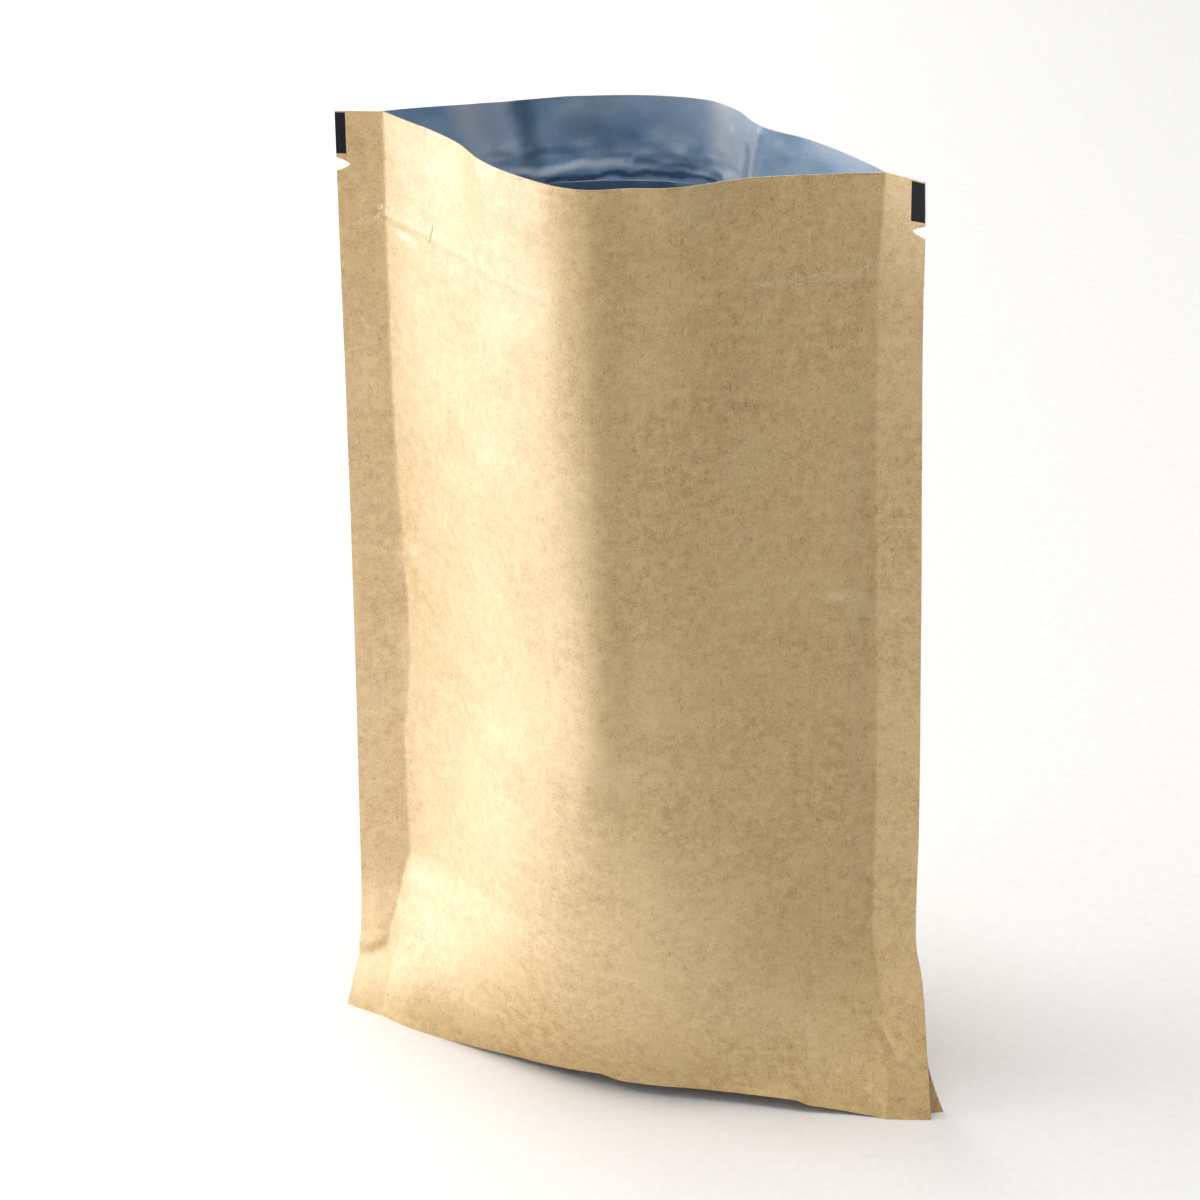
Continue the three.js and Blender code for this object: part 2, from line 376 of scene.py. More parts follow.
# Colours as shown on a screen, 0 to 255
KRAFT_DARK = (172, 131, 70)
KRAFT_MIDDLE = (212, 181, 118)
KRAFT_BLOTCH = (218, 188, 132)
KRAFT_GRAIN = (240, 209, 158)
KRAFT_STREAK = (224, 195, 142)
KRAFT_FLECK = (156, 113, 56)
KRAFT_SCUFF = (250, 240, 215)
# Painted shade for the hairline creases
KRAFT_CREASE_SHADE = (96, 70, 34)
FOIL_DARK = (160, 198, 232)
FOIL_PALE = (212, 231, 247)
FOIL_PATCH = (214, 228, 240)
FOIL_GRAIN = (208, 224, 240)
# Painted highlight on the foil
FOIL_HIGHLIGHT_COLOUR = (246, 249, 252)
# Painted shade on the foil
FOIL_SHADE_COLOUR = (60, 92, 122)
EDGE_COLOURS = ((205, 178, 140), (236, 214, 182))
INK_COLOURS = ((10, 11, 19), (22, 24, 34))
PLASTIC_COLOURS = ((92, 124, 152), (126, 154, 180))
FLOOR_COLOURS = ((232, 231, 229), (236, 235, 233))

# How much wider a scuff is drawn than its half width, because the grain wears it away
SCUFF_SPREAD = 1.4

# The camera, in millimetres and degrees
CAMERA_PLACE = (365.7, -1005.4, 662)
CAMERA_DOWN = 26.9
CAMERA_ROUND = 20.4
CAMERA_ROLL = -1.06
CAMERA_LENS = 159.5
CAMERA_SENSOR = 36
CAMERA_REACH = 20

# The floor's half width, in metres
FLOOR_HALF = 6.0

# What lights face, in metres: the pouch, the floor under it, or nothing where they lie on it and face up
AT_POUCH = (0, 0, 0.08)
AT_FLOOR = (0, 0, 0)
UP = None

# Lights that light everything: name, place and size in metres, watts, and what they face
LIGHTS = [
    ("high_left", (-1.6, -0.3, 1.4), (1, 1), 15.5, AT_POUCH),
    ("rear_left", (-0.9, 0.7, 0.3), (0.8, 0.6), 6.9, AT_POUCH),
    ("low_left", (-0.9, -0.6, 0.2), (0.7, 0.3), 4.9, AT_POUCH),
    ("above", (-0.05, -0.12, 1.8), (0.7, 0.7), 16, AT_FLOOR),
    ("ceiling", (0, 0, 5), (14, 14), 320, AT_FLOOR),
]

# Lights that only show as sheen, like bright paper low on the left of the pouch
SHEENS = [
    ("low_sheen", (-1.0, -0.2, 0.15), (0.8, 0.3), 14, AT_POUCH),
    ("near_sheen", (-0.14, -0.08, 0.002), (0.13, 0.3), 0.32, UP),
    ("front_sheen", (-0.15, -0.22, 0.002), (0.2, 0.2), 0.35, UP),
    ("foot_sheen", (-0.03, -0.1175, 0.002), (0.18, 0.165), 0.12, UP),
    ("far_sheen", (-0.36, -0.08, 0.002), (0.2, 0.4), 0.42, UP),
]
SURROUND = 0.03


# ---------------------------------------------------------------- curves through numbers

def through(knots, values, t):
    """Smooth curve through values[k] at knots[k], at each number of the array t."""
    knots = np.asarray(knots, float)
    values = np.asarray(values, float)
    flat = values.reshape(len(knots), -1)
    slopes = np.empty_like(flat)
    slopes[1:-1] = (flat[2:] - flat[:-2]) / (knots[2:] - knots[:-2])[:, None]
    slopes[0] = (flat[1] - flat[0]) / (knots[1] - knots[0])
    slopes[-1] = (flat[-1] - flat[-2]) / (knots[-1] - knots[-2])
    i = np.clip(np.searchsorted(knots, t) - 1, 0, len(knots) - 2)
    span = (knots[i + 1] - knots[i])[:, None]
    u = (np.asarray(t, float) - knots[i])[:, None] / span
    rise = flat[i + 1] - flat[i]
    leave = slopes[i] * span
    arrive = slopes[i + 1] * span
    bent = flat[i] + u * (leave + u * (3 * rise - 2 * leave - arrive + u * (leave + arrive - 2 * rise)))
    return bent.reshape(len(u), *values.shape[1:])


def rows_at(rows, z):
    """The numbers of rows of (height, numbers) at each height of the array z."""
    return through([height for height, _ in rows], [numbers for _, numbers in rows], z)


def smooth(low, high, t):
    """0 below low, 1 above high, and a smooth step between them."""
    u = np.clip((t - low) / (high - low), 0, 1)
    return u * u * (3 - 2 * u)


def hump(t, middle, width):
    """A bell of height 1 about the middle."""
    return np.exp(-((t - middle) / width) ** 2)


def ridge(s, z, start, end, width):
    """A bell-shaped ridge of height 1 along the line between two places (s, z)."""
    span_s, span_z = end[0] - start[0], end[1] - start[1]
    share = ((s - start[0]) * span_s + (z - start[1]) * span_z) / (span_s ** 2 + span_z ** 2)
    share = np.clip(share, 0, 1)
    away = np.hypot(s - start[0] - share * span_s, z - start[1] - share * span_z)
    return np.exp(-(away / width) ** 2)


def waves(s, z, shortest, longest, count, seed):
    """An uneven field of about unit height: plane waves of drawn direction, length and phase."""
    draw = np.random.default_rng(seed)
    total = np.zeros(np.broadcast(s, z).shape)
    for _ in range(count):
        length = math.exp(draw.uniform(math.log(shortest), math.log(longest)))
        heading = draw.uniform(0, math.pi)
        phase = draw.uniform(0, 2 * math.pi)
        along = s * math.cos(heading) + z * math.sin(heading)
        total += np.sin(2 * math.pi * along / length + phase)
    return total / math.sqrt(count / 2)


# ---------------------------------------------------------------- the film's lines

def grid_columns():
    """Places across the pouch: even between the seals, finer at the seals' inner ends."""
    middle = np.linspace(-EVEN_HALF, EVEN_HALF, EVEN_COLUMNS)
    seal = np.arange(EVEN_HALF + SEAL_STEP, SEAL_COLUMNS_END + SEAL_STEP / 2, SEAL_STEP)
    side = np.concatenate([seal, FIN_COLUMNS])
    return np.concatenate([-side[::-1], middle, side])


def grid_rows():
    """Heights: even up the pouch, finer at the foot, the strip and the tear notches."""
    notch_bottom = HEIGHT - NOTCH_BELOW_TOP - NOTCH_HEIGHT / 2
    return np.unique(np.round(np.concatenate([
        *[np.arange(*steps) for steps in ROW_STEPS],
        np.arange(STRIP_ROWS_END, notch_bottom, STRIP_STEP),
        np.linspace(notch_bottom, notch_bottom + NOTCH_HEIGHT, NOTCH_ROWS),
        np.arange(MARK_BOTTOM, MARK_TOP, MARK_STEP),
        [MARK_TOP, HEIGHT],
    ]), 3))


COLUMNS = grid_columns()
ROWS = grid_rows()


def film_turns(side, s, z):
    """The film's turns in degrees at each s (rows) and z (columns), between the seals."""
    if side > 0:
        shift = RIDGE_STEP * smooth(*RIDGE_STEP_HEIGHTS, z)[None, :] * hump(s, *RIDGE_STEP_PLACE)[:, None]
        rows = rows_at(FRONT_TURNS, z).T
        turns = np.stack([through(STATIONS, rows[:, i], s + shift[:, i]) for i in range(len(z))], axis=1)
        stepped = s[:, None] + shift
    else:
        turns = through(STATIONS, rows_at(BACK_TURNS, z).T, s)
        stepped = s[:, None]
    for bend_side, middle, width, turn, heights in BENDS:
        if bend_side == side:
            turns = turns + turn * hump(stepped, middle, width) * smooth(*heights, z)
    if side < 0:
        return turns
    crease = np.interp(z, *zip(*LEFT_CREASE))
    past_crease = smooth(crease, crease + CREASE_WIDTH, s[:, None])
    seal_turn = rows_at(LEFT_SEAL, z)[:, 2]
    return seal_turn + (turns - seal_turn) * past_crease


def film_line(side, z):
    """x and y of a panel's film every LINE_STEP from seal to seal (rows), at heights z (columns)."""
    middles = np.arange(-FREE_HALF + LINE_STEP / 2, FREE_HALF, LINE_STEP)
    turns = np.radians(film_turns(side, middles, z))
    start = np.zeros((1, len(z)))
    walked_x = np.concatenate([start, np.cumsum(np.cos(turns) * LINE_STEP, axis=0)])
    walked_y = np.concatenate([start, np.cumsum(np.sin(turns) * LINE_STEP, axis=0)])
    left_x, left_y, _ = rows_at(LEFT_SEAL, z).T
    right_x, right_y, _ = rows_at(RIGHT_SEAL, z).T
    share = np.linspace(0, 1, len(walked_x))[:, None]
    x = left_x + walked_x * (right_x - left_x) / walked_x[-1]
    y = left_y + walked_y + (right_y - left_y - walked_y[-1]) * share
    return x, y


def panel_points(side, s, z):
    """The film of a panel as a grid of points, heights by places across."""
    x, y = film_line(side, z)
    place = (np.clip(s, -FREE_HALF, FREE_HALF) + FREE_HALF) / LINE_STEP
    i = np.minimum(place.astype(int), len(x) - 2)
    share = (place - i)[:, None]
    inner_x = x[i] + (x[i + 1] - x[i]) * share
    inner_y = y[i] + (y[i + 1] - y[i]) * share
    seal_turn = np.where(s[:, None] < 0, rows_at(LEFT_SEAL, z)[:, 2], rows_at(RIGHT_SEAL, z)[:, 2])
    beyond = (np.sign(s) * np.maximum(np.abs(s) - FREE_HALF, 0))[:, None]
    turn = np.radians(seal_turn)
    out = fin_shift(s[:, None], z[None, :])
    points = np.stack([
        inner_x + beyond * np.cos(turn) + out * np.sin(turn),
        inner_y + beyond * np.sin(turn) - out * np.cos(turn),
        z + 0 * inner_x,
    ], axis=-1)
    if side > 0:
        fade = np.clip(1 - z / LIFT_FADE, 0, 1) ** 2
        swing = np.interp(s, *zip(*SWING))[:, None] * fade
        points[..., 1] -= SWING_OUT * swing
        points[..., 2] += np.interp(s, *zip(*LIFT))[:, None] * fade + swing
    else:
        points += gape(s[:, None], z[None, :])[..., None] * np.array(GAPE)
    return points.transpose(1, 0, 2)


def fin_shift(s, z):
    """How far a fin's two sealed films stand out to the front of its flat form."""
    up_only = waves(0 * s, z, *FIN_WAVE_LENGTHS, FIN_WAVE_COUNT, FIN_WAVE_SEED)
    wavy = FIN_WAVE * smooth(*FIN_WAVE_REACH, np.abs(s)) * up_only
    heights, widths, slopes = zip(*LEFT_FOLD)
    folded = np.clip(-FREE_HALF - s, 0, np.interp(z, heights, widths))
    return wavy - folded * np.interp(z, heights, slopes) + relief_of(FIN_FEATURES, s, z)


def gape(s, z):
    """How much the back's right foot corner stands off the front's, 0 to 1."""
    return smooth(GAPE_FROM, FLAT_HALF, s) * np.clip(1 - z / GAPE_HEIGHT, 0, 1) ** GAPE_POWER


def grid_normals(points, side):
    """Unit normals of a grid of points, away from the pouch's inside."""
    up = np.gradient(points, axis=0)
    along = np.gradient(points, axis=1)
    normals = np.cross(along, up) * side
    return normals / np.linalg.norm(normals, axis=-1, keepdims=True)


def bottom_seal_top(s):
    """Height of the bottom seal's upper edge at a place across."""
    share = np.minimum(np.abs(s) / FREE_HALF, 1)
    return BASE_SEAL + (SEAL_TOP_AT_SIDES - BASE_SEAL) * share ** SEAL_SWEEP


def notched(s, z):
    """Places across with the tear notches cut in from the fins' edges."""
    start = FLAT_HALF - 2 * NOTCH_DEPTH
    half = NOTCH_HEIGHT / 2
    from_tip = np.clip(np.abs(z - (HEIGHT - NOTCH_BELOW_TOP)) / half, 0, 1)
    depth = NOTCH_DEPTH * (1 - from_tip ** NOTCH_POWER)
    squeeze = (FLAT_HALF - depth - start) / (FLAT_HALF - start)
    reach = np.maximum(np.abs(s) - start, 0)
    return np.sign(s) * (np.minimum(np.abs(s), start) + reach * squeeze)


# ---------------------------------------------------------------- relief

def relief_of(features, s, z):
    """The sum of ridges, each a start, an end, a width and a height."""
    return sum(height * ridge(s, z, start, end, width) for start, end, width, height in features)


def cockled(s, z, seed):
    """The cockle and the tooth of a panel's free film, from a seed and the next one."""
    slow = COCKLE * waves(s, z, *COCKLE_LENGTHS, COCKLE_COUNT, seed)
    fine = TOOTH * waves(s, TOOTH_SQUEEZE * z, *TOOTH_LENGTHS, TOOTH_COUNT, seed + 1)
    free = 1 - smooth(FREE_HALF - STIFF_EDGE, FREE_HALF, np.abs(s))
    return free * (slow + fine)


def front_relief(s, z):
    """How far the front film stands out of its smooth form."""
    line = np.interp(s, *zip(*ZIP_LINE))
    pressed = PRESSED_MIDDLE + (PRESSED_SIDES - PRESSED_MIDDLE) * smooth(*PRESSED_REACH, np.abs(s))
    ribs = pressed * hump(z, line, PRESSED_WIDTH)
    ticks = TICK * smooth(*TICKS_FROM, s) * np.sin(2 * np.pi * s / TICK_PITCH) * hump(z, line, TICK_WIDTH)
    lip = smooth(*FLARE_START, s) * smooth(*FLARE_END, s)
    flared = FLARE * np.clip(1 - z / FLARE_HEIGHT, 0, 1) ** 2 * lip
    return cockled(s, z, FRONT_SEED) + ribs + ticks + flared + relief_of(FRONT_FEATURES, s, z)


def back_relief(s, z):
    """How far the back film stands out of its smooth form."""
    tall = smooth(*CRINKLE_BOTTOM, z) * (1 - smooth(*CRINKLE_TOP, z))
    wide = smooth(*CRINKLE_LEFT, s) * (1 - smooth(*CRINKLE_RIGHT, s))
    field = waves(s, CRINKLE_SQUEEZE * z, *CRINKLE_LENGTHS, CRINKLE_COUNT, CRINKLE_SEED)
    crinkled = CRINKLE * tall * wide * field
    return cockled(s, z, BACK_SEED) + crinkled + relief_of(BACK_FEATURES, s, z)


# ---------------------------------------------------------------- meshes

def grid_faces(row_count, column_count, first, flipped):
    """Quads of a grid of vertices numbered row by row from first."""
    index = first + np.arange(row_count * column_count).reshape(row_count, column_count)
    quads = np.stack([index[:-1, :-1], index[:-1, 1:], index[1:, 1:], index[1:, :-1]], axis=-1)
    quads = quads.reshape(-1, 4)
    return quads[:, ::-1] if flipped else quads


def border_faces(row_count, column_count, first, second, flipped):
    """Quads that join the borders of two grids of the same size."""
    index = np.arange(row_count * column_count).reshape(row_count, column_count)
    loop = np.concatenate([index[0, :-1], index[:-1, -1], index[-1, :0:-1], index[:0:-1, 0]])
    after = np.roll(loop, -1)
    quads = np.stack([first + after, first + loop, second + loop, second + after], axis=-1)
    return quads[:, ::-1] if flipped else quads


def mesh_piece(name, points, faces, materials, face_materials):
    """A mesh object from points in millimetres, faces, its materials and each face's material."""
    mesh = bpy.data.meshes.new(name)
    mesh.from_pydata((points * METRES).tolist(), [], faces)
    for material in materials:
        mesh.materials.append(material)
    mesh.polygons.foreach_set("material_index", np.asarray(face_materials, np.int32))
    mesh.polygons.foreach_set("use_smooth", np.ones(len(faces), bool))
    mesh.set_sharp_from_angle(angle=math.radians(SHARP_EDGE))
    piece = bpy.data.objects.new(name, mesh)
    bpy.context.scene.collection.objects.link(piece)
    return piece


def shift_to_origin(points):
    """Points moved so that the origin is under the pouch's middle, as in the CAD source."""
    return points - np.array([MIDDLE_X, MIDDLE_Y, 0])


def sheet_piece(name, outer, inner, side, materials, outer_material, film_place):
    """A thin sheet between two grids of points, with its cut edge all round.

    film_place holds each grid point's s and z on the flat film, kept for the materials in metres.
    """
    rows, columns = outer.shape[:2]
    count = rows * columns
    outside = grid_faces(rows, columns, 0, side < 0)
    inside = grid_faces(rows, columns, count, side > 0)
    edge = border_faces(rows, columns, 0, count, side < 0)
    faces = np.concatenate([outside, inside, edge])
    face_materials = np.concatenate([
        outer_material.ravel(),
        np.full(len(inside), FOIL),
        np.full(len(edge), EDGE),
    ])
    points = np.concatenate([outer.reshape(-1, 3), inner.reshape(-1, 3)])
    piece = mesh_piece(name, shift_to_origin(points), faces.tolist(), materials, face_materials)
    flat = np.stack([*film_place, np.full(outer.shape[:2], SIDE_APART * side)], axis=-1) * METRES
    place = piece.data.attributes.new(FILM_PLACE, "FLOAT_VECTOR", "POINT")
    place.data.foreach_set("vector", np.tile(flat.reshape(-1, 3), (2, 1)).ravel())
    return piece


def mark_faces():
    """The material of each grid face of a panel's outside: ink on a printed mark, or else kraft."""
    s = (COLUMNS[:-1] + COLUMNS[1:]) / 2
    z = (ROWS[:-1] + ROWS[1:]) / 2
    left = s < -FLAT_HALF + MARK_LEFT_WIDTH
    right = s > FLAT_HALF - MARK_RIGHT_WIDTH
    tall = (z > MARK_BOTTOM) & (z < MARK_TOP)
    return np.where(tall[:, None] & (left | right)[None, :], INK, KRAFT)


def panel_piece(name, side, materials):
    """One panel of the pouch: kraft outside, foil inside, with its fins, notches and marks."""
    s_grid, z_grid = np.meshgrid(COLUMNS, ROWS)
    points = panel_points(side, COLUMNS, ROWS)
    cut = notched(s_grid, z_grid)
    for i in np.flatnonzero(np.any(cut != s_grid, axis=1)):
        points[i] = panel_points(side, cut[i], ROWS[i:i + 1])[0]
    normals = grid_normals(points, side)
    relief = front_relief(s_grid, z_grid) if side > 0 else back_relief(s_grid, z_grid)
    under_layer = FILM * (1 - smooth(0, SEAL_EDGE, z_grid - bottom_seal_top(s_grid)))
    inner = points + normals * (relief + under_layer)[..., None]
    outer = inner + normals * FILM
    for grid in (inner, outer):
        grid[0, :, 2] = points[0, :, 2]
        grid[-1, :, 2] = HEIGHT
    return sheet_piece(name, outer, inner, side, materials, mark_faces(), (cut, z_grid))


def gusset_points(s):
    """The folded bottom film's lines: up from the front's foot, over the fold and down to the back's."""
    walls = {side: panel_points(side, s, np.linspace(0, GUSSET_DEPTH, WALL_STEPS + 1)) for side in (1, -1)}

    def on(side, z):
        """Points of a panel at one height for each place across."""
        place = np.minimum(z / GUSSET_DEPTH * WALL_STEPS, WALL_END)
        i = place.astype(int)
        share = (place - i)[:, None]
        columns = np.arange(len(s))
        return walls[side][i, columns] * (1 - share) + walls[side][i + 1, columns] * share

    foot = bottom_seal_top(s)
    gap = np.linalg.norm(on(1, foot) - on(-1, foot), axis=1)
    leg = GUSSET_DEPTH - foot
    rise = np.sqrt(np.maximum(leg ** 2 - (gap / 2) ** 2, 0))
    shares = np.linspace(0, 1, LEG_STEPS + 1)[:-1]
    lines = [on(1, foot * share) for share in shares]
    for place in np.linspace(-1, 1, FOLD_LINES):
        up = 1 - abs(place)
        z = foot + rise * up
        wall = on(1 if place < 0 else -1, z)
        middle = (on(1, z) + on(-1, z)) / 2
        lines.append(middle + (wall - middle) * (1 - up ** PEEL))
    lines += [on(-1, foot * share) for share in shares[::-1]]
    return np.array(lines)


def gusset_piece(materials):
    """The folded bottom film, a hair thinner than the gap that the panels leave it."""
    points = gusset_points(COLUMNS)
    normals = grid_normals(points, 1)
    inner = points + normals * FILM * GUSSET_CLEARANCE
    outer = points + normals * FILM * (1 - GUSSET_CLEARANCE)
    for grid in (inner, outer):
        grid[..., 2] = np.maximum(grid[..., 2], 0)
    film_place = np.meshgrid(COLUMNS, np.linspace(-GUSSET_DEPTH, GUSSET_DEPTH, len(points)))
    plain = np.full((len(points) - 1, len(COLUMNS) - 1), KRAFT)
    return sheet_piece("gusset", inner, outer, -1, materials, plain, film_place)


def strip_section(hooked):
    """A press-to-close strip's section, as depth in from the film and height from its middle."""
    flange = [(0.05, -4.5), (0.2, -4.4), (FLANGE_THICKNESS, -3.4)]
    if hooked:
        ribs = [(FLANGE_THICKNESS, -1.5), (1.1, -1.4), (1.35, -1.1), (1.3, -0.7), (1.0, -0.75), (0.4, -0.8)]
    else:
        ribs = [(FLANGE_THICKNESS, -0.45), (0.9, -0.4), (1.0, -0.75), (1.3, -0.6), (1.5, -0.25)]
    lower = flange + ribs
    upper = [(depth, -up) for depth, up in reversed(lower)]
    return lower + upper


def zip_points(side):
    """The strip's section at places along the inside of a panel, crushed flat at its ends."""
    section_depth, section_up = np.array(strip_section(side < 0)).T[:, :, None]
    end = ZIP_HALF_SPAN + ZIP_CRUSHED_END
    s = np.linspace(-end, end, ZIP_COLUMNS)
    height = HEIGHT - ZIP_BELOW_TOP + section_up
    wall = panel_points(side, s, height[:, 0])
    along = np.gradient(wall, axis=1)
    inward = np.stack([-along[..., 1], along[..., 0], np.zeros(along.shape[:2])], axis=-1) * side
    inward /= np.linalg.norm(inward, axis=-1, keepdims=True)
    kept = 1 - ZIP_CRUSH * smooth(ZIP_HALF_SPAN - 1, end, np.abs(s))
    flange = np.minimum(section_depth, FLANGE_THICKNESS)
    relief = front_relief if side > 0 else back_relief
    depth = flange + (section_depth - flange) * kept - relief(s[None, :], height)
    return wall + inward * depth[..., None]


def zip_piece(name, side, material):
    """A press-to-close strip on the inside of a panel, closed at both ends."""
    points = zip_points(side)
    index = np.arange(points[..., 0].size).reshape(points.shape[:2])
    after = np.roll(index, -1, axis=0)
    quads = np.stack([index[:, :-1], index[:, 1:], after[:, 1:], after[:, :-1]], axis=-1).reshape(-1, 4)
    faces = quads.tolist() + [index[::-1, 0].tolist(), index[:, -1].tolist()]
    if side > 0:
        faces = [face[::-1] for face in faces]
    return mesh_piece(name, shift_to_origin(points.reshape(-1, 3)), faces, [material], [0] * len(faces))


# ---------------------------------------------------------------- materials

def new_material(name):
    """A material with its node tree and its main shader."""
    material = bpy.data.materials.new(name)
    material.use_nodes = True
    tree = material.node_tree
    shader = next(n for n in tree.nodes if n.type == "BSDF_PRINCIPLED")
    return material, tree, shader


def add(tree, kind, **settings):
    """A node of that kind; a setting is one of its properties, or the value of an input."""
    made = tree.nodes.new(kind)
    for name, value in settings.items():
        if hasattr(made, name):
            setattr(made, name, value)
        else:
            made.inputs[name.replace("_", " ")].default_value = value
    return made


def stretched(tree, scale, on_film):
    """The place in metres on the flat film, or else on the object, stretched along its axes."""
    if on_film:
        place = add(tree, "ShaderNodeAttribute", attribute_name=FILM_PLACE).outputs["Vector"]
    else:
        place = add(tree, "ShaderNodeTexCoord").outputs["Object"]
    mapping = add(tree, "ShaderNodeMapping", Scale=scale)
    tree.links.new(place, mapping.inputs["Vector"])
    return mapping.outputs["Vector"]


def noise(tree, scale, detail=2.0, roughness=0.5, stretch=(1, 1, 1), low=0.3, high=0.7, on_film=True):
    """Noise of a size in waves per metre, spread so that low becomes 0 and high becomes 1."""
    field = add(tree, "ShaderNodeTexNoise", Scale=scale, Detail=detail, Roughness=roughness)
    tree.links.new(stretched(tree, stretch, on_film), field.inputs["Vector"])
    spread = add(tree, "ShaderNodeMapRange", From_Min=low, From_Max=high)
    tree.links.new(field.outputs["Fac"], spread.inputs["Value"])
    return spread.outputs["Result"]


def mixed(tree, factor, first, second, strength=1.0):
    """A blend of two colours, by a factor of 0 to 1 times a strength. A colour is 0 to 255, or a socket."""
    scaled = add(tree, "ShaderNodeMath", operation="MULTIPLY")
    tree.links.new(factor, scaled.inputs[0])
    scaled.inputs[1].default_value = strength
    mix = add(tree, "ShaderNodeMix", data_type="RGBA")
    tree.links.new(scaled.outputs[0], mix.inputs["Factor"])
    ends = [socket for socket in mix.inputs if socket.type == "RGBA"]
    for socket, colour in zip(ends, (first, second)):
        if isinstance(colour, bpy.types.NodeSocket):
            tree.links.new(colour, socket)
        else:
            socket.default_value = linear(*colour)
    return next(socket for socket in mix.outputs if socket.type == "RGBA")


def linear(red, green, blue):
    """A colour of 0 to 255 as shown on a screen, in the shader's own linear numbers."""
    parts = [c / 255 for c in (red, green, blue)]
    return (*[c / 12.92 if c <= 0.04045 else ((c + 0.055) / 1.055) ** 2.4 for c in parts], 1.0)


def bumped(tree, shader, height, distance):
    """Gives a shader the fine relief of a height of 0 to 1 times a distance in millimetres."""
    bump = add(tree, "ShaderNodeBump", Distance=distance * METRES, Strength=1.0)
    tree.links.new(height, bump.inputs["Height"])
    tree.links.new(bump.outputs["Normal"], shader.inputs["Normal"])


def wavering(tree):
    """The place on the flat film, moved about a little so that lines drawn there waver."""
    place = add(tree, "ShaderNodeAttribute", attribute_name=FILM_PLACE).outputs["Vector"]
    wander = add(tree, "ShaderNodeTexNoise", Scale=WAVER_SCALE, Detail=2.0)
    tree.links.new(place, wander.inputs["Vector"])
    centred = add(tree, "ShaderNodeVectorMath", operation="SUBTRACT")
    tree.links.new(wander.outputs["Color"], centred.inputs[0])
    centred.inputs[1].default_value = (0.5, 0.5, 0.5)
    shift = add(tree, "ShaderNodeVectorMath", operation="MULTIPLY")
    tree.links.new(centred.outputs[0], shift.inputs[0])
    shift.inputs[1].default_value = (WAVER * METRES, WAVER * METRES, 0)
    moved = add(tree, "ShaderNodeVectorMath", operation="ADD")
    tree.links.new(place, moved.inputs[0])
    tree.links.new(shift.outputs[0], moved.inputs[1])
    return moved.outputs[0]


def stroke(tree, place, side, start, end, width, soft):
    """A mask along a line between two places (s, z) of a panel: 1 within soft times its half width."""
    first = Vector((*start, SIDE_APART * side)) * METRES
    span = Vector((*end, SIDE_APART * side)) * METRES - first
    away = add(tree, "ShaderNodeVectorMath", operation="SUBTRACT")
    tree.links.new(place, away.inputs[0])
    away.inputs[1].default_value = first
    along = add(tree, "ShaderNodeVectorMath", operation="DOT_PRODUCT")
    tree.links.new(away.outputs[0], along.inputs[0])
    along.inputs[1].default_value = span / span.length_squared
    share = add(tree, "ShaderNodeClamp")
    tree.links.new(along.outputs["Value"], share.inputs["Value"])
    nearest = add(tree, "ShaderNodeVectorMath", operation="SCALE")
    nearest.inputs[0].default_value = span
    tree.links.new(share.outputs[0], nearest.inputs["Scale"])
    gap = add(tree, "ShaderNodeVectorMath", operation="DISTANCE")
    tree.links.new(away.outputs[0], gap.inputs[0])
    tree.links.new(nearest.outputs[0], gap.inputs[1])
    mask = add(tree, "ShaderNodeMapRange", From_Min=width * METRES, From_Max=width * METRES * soft)
    mask.interpolation_type = "SMOOTHSTEP"
    tree.links.new(gap.outputs["Value"], mask.inputs["Value"])
    return mask.outputs["Result"]


def broken(tree, mask, grain):
    """A mask worn away where the grain is low."""
    product = add(tree, "ShaderNodeMath", operation="MULTIPLY")
    tree.links.new(mask, product.inputs[0])
    tree.links.new(grain, product.inputs[1])
    return product.outputs[0]


def kraft_material():
    """Satin kraft paper: cloudy, with fine fibres, faint streaks along the web, a few scuffs and painted
    shade in hairline creases.
    """
    material, tree, shader = new_material("kraft_paper")
    clouds = noise(tree, 380, detail=4, roughness=0.66, low=0.36, high=0.64)
    blotches = noise(tree, 75, detail=2, low=0.35, high=0.65)
    grain = noise(tree, 2200, detail=2, roughness=0.7, low=0.38, high=0.66)
    streaks = noise(tree, 900, detail=2, stretch=(1, 0.06, 1), low=0.35, high=0.65)
    flecks = noise(tree, 1100, detail=1, stretch=(1, 0.5, 1), low=0.6, high=0.75)
    colour = mixed(tree, clouds, KRAFT_DARK, KRAFT_MIDDLE)
    colour = mixed(tree, blotches, colour, KRAFT_BLOTCH, strength=0.5)
    colour = mixed(tree, grain, colour, KRAFT_GRAIN, strength=0.55)
    colour = mixed(tree, streaks, colour, KRAFT_STREAK, strength=0.16)
    colour = mixed(tree, flecks, colour, KRAFT_FLECK, strength=0.4)
    place = wavering(tree)
    for start, end, width, strength in SCUFFS:
        scuff = stroke(tree, place, 1, start, end, SCUFF_SPREAD * width, soft=0.1)
        colour = mixed(tree, broken(tree, scuff, grain), colour, KRAFT_SCUFF, strength)
    # Painted shade along the hairline creases
    for start, end, width in HAIRLINE_SHADES:
        hairline_shade = stroke(tree, place, 1, start, end, width, soft=0.5)
        colour = mixed(tree, hairline_shade, colour, KRAFT_CREASE_SHADE, HAIRLINE_SHADE_STRENGTH)
    tree.links.new(colour, shader.inputs["Base Color"])
    shader.inputs["Roughness"].default_value = 0.42
    shader.inputs["IOR"].default_value = 1.65
    fibres = mixed(tree, streaks, grain, clouds, strength=0.35)
    bumped(tree, shader, fibres, distance=0.025)
    return material


